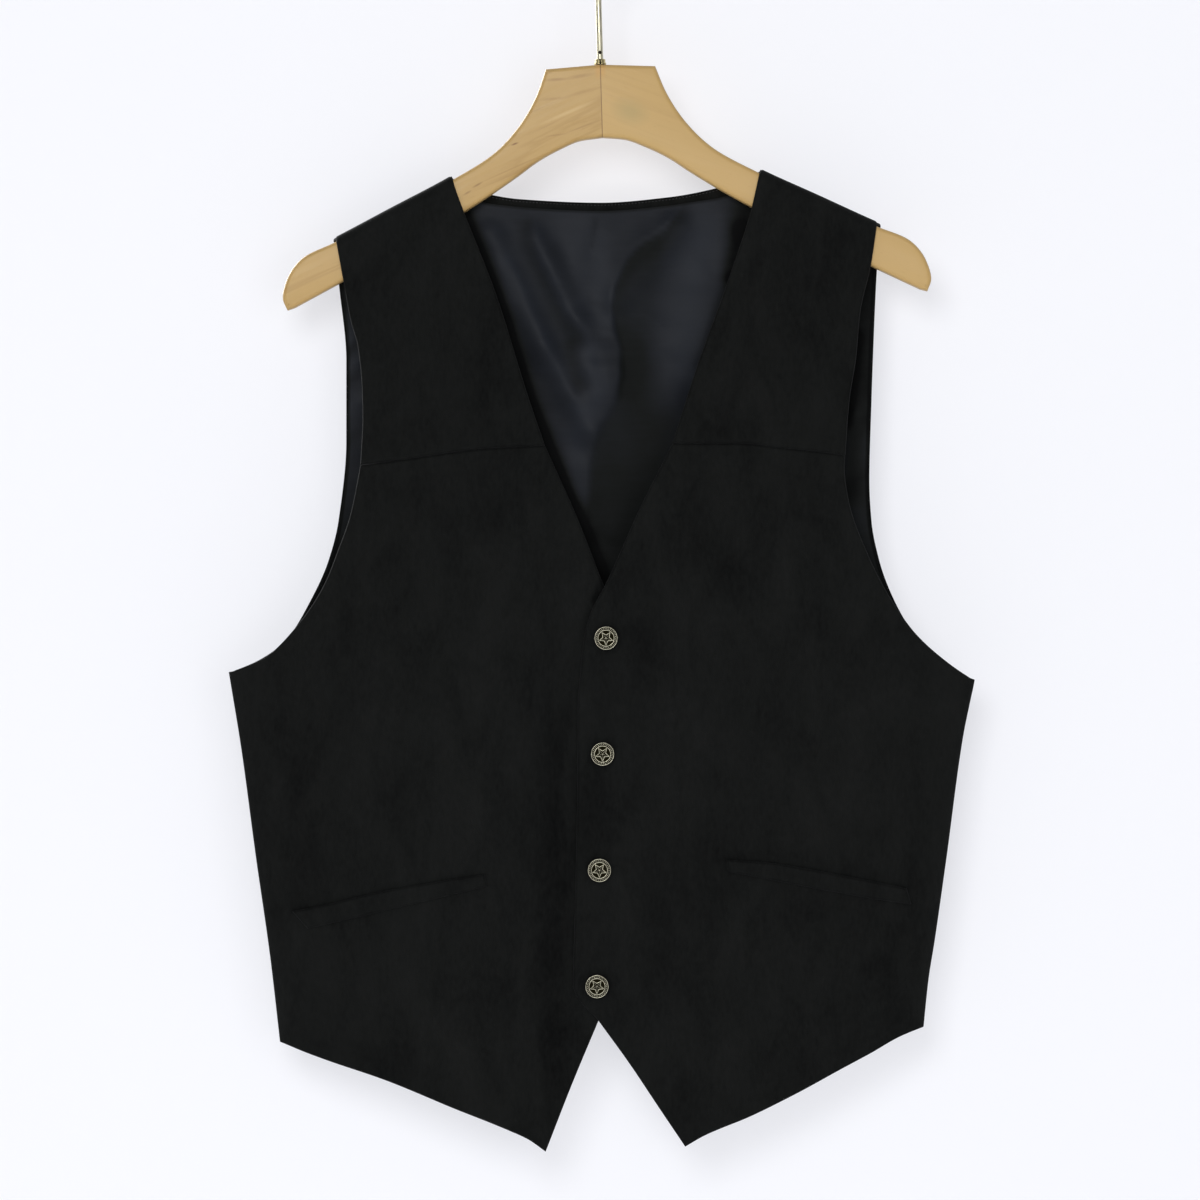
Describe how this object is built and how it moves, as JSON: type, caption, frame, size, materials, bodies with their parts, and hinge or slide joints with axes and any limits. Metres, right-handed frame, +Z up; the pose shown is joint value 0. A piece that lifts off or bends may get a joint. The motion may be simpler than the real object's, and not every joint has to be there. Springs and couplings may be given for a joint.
{
  "type": "leather vest on a wooden hanger",
  "caption": "Black suede V-neck vest with snap front, yokes and slanted welt pockets, hanging flat on a wooden hanger with a brass hook.",
  "frame": {"origin": "the point inside the hook's loop that rests on the rail or peg", "axes": "+Z up, -Y the front of the vest, +X the wearer's left (the viewer's right)"},
  "size_m": [0.5237, 0.0482, 0.8648],
  "materials": {
    "suede": "napped black suede, matt",
    "lining": "charcoal navy satin",
    "antique_brass": "antiqued, worn on the raised edges",
    "wood": "pale hardwood under a thin satin varnish",
    "hook_brass": "bright pale brass wire"
  },
  "bodies": {
    "root": {"front_right": "suede", "front_left": "suede", "yoke_right": "suede", "yoke_left": "suede", "back_panel": "suede", "welt_right": "suede", "welt_left": "suede", "back_lining": "lining", "button_1": "antique_brass", "button_2": "antique_brass", "button_3": "antique_brass", "button_4": "antique_brass", "hanger_right": "wood", "hanger_left": "wood", "hook_collar": "hook_brass", "hanger_hook": "hook_brass"}
  },
  "joints": []
}
